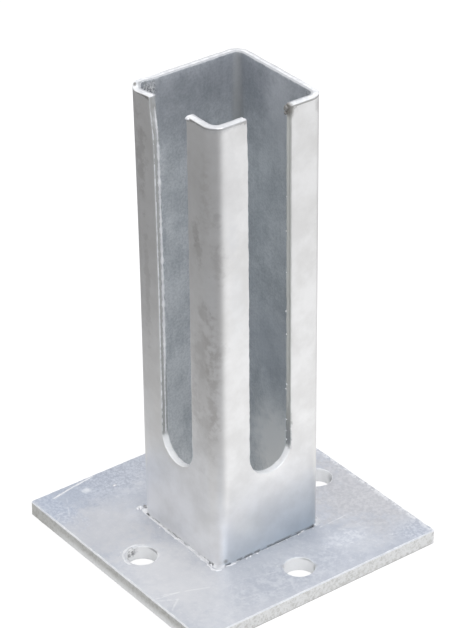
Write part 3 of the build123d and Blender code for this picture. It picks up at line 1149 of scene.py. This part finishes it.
def shade_holes(zinc):
    """Shade and dross on the walls and edges of the anchor holes."""
    zinc.patch((0.2, -49.3, 7.2), (7.0, 2.2, 1.1), (0.34, 0.34, 0.35), 0.85, 0.15)
    zinc.patch((60.6, 7.0, 5.4), (3.4, 2.8, 4.6), (0.40, 0.40, 0.405), 0.8, 0.1)
    zinc.patch((54.5, 6.4, 7.4), (6.0, 3.4, 0.9), (0.42, 0.42, 0.425), 0.7, 0.1)
    zinc.patch((51.4, -5.8, 5.8), (2.4, 2.6, 4.0), (0.44, 0.44, 0.445), 0.8, 0.1)
    zinc.patch((3.2, 64.4, 4.6), (5.0, 3.6, 4.4), (0.42, 0.425, 0.44), 0.75, 0.2)
    zinc.speckle((-7.8, -59.0, 6.0), (2.4, 5.6, 4.2), (0.16, 0.16, 0.17), (0.95, 0.95, 0.95), 0.85, 700.0)


def shade_plate_rim(zinc, sideways):
    """The plate's four side faces: speckled, with painted shade that makes -Y darkest and painted light
    low on it, a painted shadow along the bottom of the others, and lace over the edge on +Y.
    """
    height, to_right, to_back = (zinc.along(*axis) for axis in ((0, 0, 1), (1, 0, 0), (0, 1, 0)))
    farthest = zinc.math("MAXIMUM", zinc.math("ABSOLUTE", to_right), zinc.math("ABSOLUTE", to_back))
    rim = zinc.times(sideways, zinc.step(farthest, PLATE_HALF - 2 * MM, PLATE_HALF - MM))
    # Painted shade: the -Y side face darker than the others
    front_left = zinc.step(to_back, 2 * MM - PLATE_HALF, MM - PLATE_HALF)
    thin_zinc_and_shading = zinc.mix(front_left, (0.53, 0.525, 0.50), (0.34, 0.335, 0.31))
    thick_zinc_and_shading = zinc.mix(front_left, (0.73, 0.73, 0.72), (0.47, 0.47, 0.45))
    zinc.layer(rim, zinc.mix(zinc.specks(620.0, 0.34, 0.58), thin_zinc_and_shading, thick_zinc_and_shading), 0.95)
    # Painted light low on the -Y side face, towards its right end
    lit_low = zinc.times(zinc.step(height, 5.5 * MM, 0.5 * MM), zinc.step(to_right, -68 * MM, -30 * MM))
    zinc.layer(zinc.times(rim, front_left, lit_low), BRIGHT_ZINC_AND_HIGHLIGHT, 0.65)
    # Painted shadow along the bottom edge of the other side faces
    painted_shade_low = zinc.minus(zinc.step(height, 0.9 * MM, 0.3 * MM), front_left, clamp=True)
    zinc.layer(zinc.times(rim, painted_shade_low), (0.30, 0.29, 0.27), 0.7)
    at_back = zinc.step(to_back, 71.2 * MM, 73.8 * MM)
    zinc.layer(zinc.times(at_back, zinc.specks(420.0, 0.45, 0.55)), BRIGHT_ZINC_AND_HIGHLIGHT, 0.6)


def weld_finish():
    zinc = Zinc("weld_zinc", dark=(0.52, 0.53, 0.55), light=(0.76, 0.77, 0.79), crystal_share=0.4,
                cloud_scale=110.0, crystal_scale=400.0, fleck_share=0.2)
    return zinc.finish(metallic=0.8, roughness=0.36, bump=0.3, bump_mm=0.1)


def pooled_finish():
    """Fresh thick zinc where it ran together: the brightest finish on the part."""
    zinc = Zinc("pooled_zinc", dark=(0.72, 0.73, 0.76), light=(0.93, 0.935, 0.95), crystal_share=0.3,
                cloud_scale=200.0, crystal_scale=500.0, fleck_share=0.2)
    zinc.patch((29.4, 13.0, 251.4), (6.5, 6.5, 7.0), DROSS, 0.95, 0.1)
    zinc.patch((-34.4, -30.1, 8.6), (1.4, 1.3, 1.6), DROSS, 0.95, 0.1)
    zinc.patch((32.0, -32.0, 7.4), (2.6, 2.6, 1.5), POOL_SHADE, 0.9, 0.1)
    zinc.patch((33.4, 33.4, 8), (4.4, 4.4, 4.4), POOL_SHADE, 0.9, 0.1)
    return zinc.finish(metallic=0.35, roughness=0.35, bump=0.2, bump_mm=0.08)


def finish_piece(piece, material, slot, *nodes):
    """Gives a piece its finish and its place in the frame."""
    piece.data.materials.clear()
    piece.data.materials.append(material)
    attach(piece, "root")
    if nodes:
        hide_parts(*nodes)


pooled_zinc = pooled_finish()
finish_piece(make_post_tube(), tube_finish(), "galvanised_steel", "post_tube")
finish_piece(make_base_plate(), plate_finish(), "galvanised_steel", "base_plate")
finish_piece(make_weld(), weld_finish(), "galvanised_weld", "weld_bead")
finish_piece(make_foot_zinc(), pooled_zinc, "galvanised_steel")
finish_piece(make_zinc_runs(), pooled_zinc, "galvanised_steel")
finish_piece(make_zinc_pimples(), pooled_zinc, "galvanised_steel")


# Studio

FLOOR_HALF = 4.0

# How light the steel sees the floor on the left and the right: (near, far, level near, level far)
MIRRORED_LEFT = (0.06, 0.35, 0.64, 0.215)
MIRRORED_RIGHT = (0.08, 0.45, 1.06, 0.84)

# The way to the brighter side of the room
BRIGHT_SIDE = (-0.685, -0.515, 0.515)


def make_floor():
    """A plain white floor that looks white itself and shades off to the left in reflections."""
    data = bpy.data.meshes.new("floor")
    corners = [(x * FLOOR_HALF, y * FLOOR_HALF, 0) for x, y in ((-1, -1), (1, -1), (1, 1), (-1, 1))]
    data.from_pydata(corners, [], [(0, 1, 2, 3)])
    floor = add_object("floor", data)
    material = bpy.data.materials.new("floor_paint")
    material.use_nodes = True
    material.node_tree.nodes.clear()
    paint = Nodes(material.node_tree)
    place = paint.add("ShaderNodeTexCoord").outputs["Object"]
    from_corner = paint.vector("SUBTRACT", place, (TUBE_HALF, -TUBE_HALF, 0.0))
    across = paint.vector("DOT_PRODUCT", from_corner, (0.6, 0.8, 0.0))
    ahead = paint.math("DIVIDE", across, paint.vector("LENGTH", from_corner))
    away = paint.vector("LENGTH", place)
    left_level = paint.step(away, *MIRRORED_LEFT)
    right_level = paint.step(away, *MIRRORED_RIGHT)
    level = paint.mix(paint.step(ahead, 0.12, 0.96), left_level, right_level)
    mirror = paint.add("ShaderNodeEmission", {"Color": level, "Strength": 1.0}).outputs[0]
    plain = paint.add("ShaderNodeBsdfDiffuse", {"Color": (0.8, 0.8, 0.8)}).outputs[0]
    shown_paint = paint.add("ShaderNodeBsdfDiffuse", {"Color": (0.25, 0.25, 0.25)}).outputs[0]
    glow = paint.add("ShaderNodeEmission", {"Strength": 0.82}).outputs[0]
    shown = paint.add("ShaderNodeAddShader", {0: shown_paint, 1: glow}).outputs[0]
    path = paint.add("ShaderNodeLightPath").outputs
    mirrored = paint.math("MAXIMUM", path["Is Glossy Ray"], path["Is Transmission Ray"])
    surface = paint.blend(mirrored, paint.blend(path["Is Camera Ray"], plain, shown), mirror)
    paint.add("ShaderNodeOutputMaterial", {0: surface})
    data.materials.append(material)


def make_world():
    """White to the camera; to the steel, an even pale room, brighter towards the front left."""
    world = bpy.data.worlds.new("studio")
    bpy.context.scene.world = world
    world.use_nodes = True
    world.node_tree.nodes.clear()
    sky = Nodes(world.node_tree)
    direction = sky.add("ShaderNodeTexCoord").outputs["Generated"]
    front_left = sky.step(sky.vector("DOT_PRODUCT", direction, BRIGHT_SIDE), 0.2, 1.0)
    walls = sky.mix(front_left, (0.76, 0.775, 0.81), (1.0, 1.0, 1.0))
    room = sky.add("ShaderNodeBackground", {"Color": walls, "Strength": 0.9}).outputs[0]
    white = sky.add("ShaderNodeBackground", {"Color": (1.0, 1.0, 1.0)}).outputs[0]
    seen = sky.add("ShaderNodeLightPath").outputs["Is Camera Ray"]
    sky.add("ShaderNodeOutputWorld", {0: sky.blend(seen, room, white)})


def make_lamp(name, at, aim, size, power):
    data = bpy.data.lights.new(name, "AREA")
    data.size = size
    data.energy = power
    lamp = add_object(name, data)
    lamp.location = at
    lamp.rotation_euler = (Vector(aim) - Vector(at)).to_track_quat("-Z", "Y").to_euler()


# The photograph's view, found from the edges of the plate and the tube
VIEW_AZIMUTH, VIEW_ELEVATION, VIEW_ROLL = (math.radians(degrees) for degrees in (53.076, 30.989, -0.603))
VIEW_DISTANCE = 1.4551
VIEW_AIM = Vector((-0.0397, 0.0305, 0.1000))
FOCAL_PX = 2811.9
LONG_SIDE_PX = 628
SENSOR_WIDTH_MM = 36.0


def make_camera():
    """A camera that stands where the photograph was taken from."""
    out = math.cos(VIEW_ELEVATION)
    back = Vector((math.sin(VIEW_AZIMUTH) * out, -math.cos(VIEW_AZIMUTH) * out, math.sin(VIEW_ELEVATION)))
    level_right = Vector((math.cos(VIEW_AZIMUTH), math.sin(VIEW_AZIMUTH), 0.0))
    level_up = back.cross(level_right)
    right = math.cos(VIEW_ROLL) * level_right + math.sin(VIEW_ROLL) * level_up
    data = bpy.data.cameras.new("camera")
    data.sensor_width = SENSOR_WIDTH_MM
    data.lens = SENSOR_WIDTH_MM * FOCAL_PX / LONG_SIDE_PX
    data.clip_start = 0.05
    camera = add_object("camera", data)
    turn = Matrix((right, back.cross(right), back)).transposed().to_4x4()
    camera.matrix_world = Matrix.Translation(VIEW_AIM + VIEW_DISTANCE * back) @ turn
    bpy.context.scene.camera = camera


make_floor()
make_world()
make_lamp("key", at=(1.25, -0.4, 1.0), aim=(0, 0, 0.12), size=0.9, power=7.0)
make_lamp("top", at=(-0.1, 0.3, 1.6), aim=(0, 0, 0.1), size=1.2, power=7.0)
make_camera()
bpy.context.scene.view_settings.view_transform = "Standard"
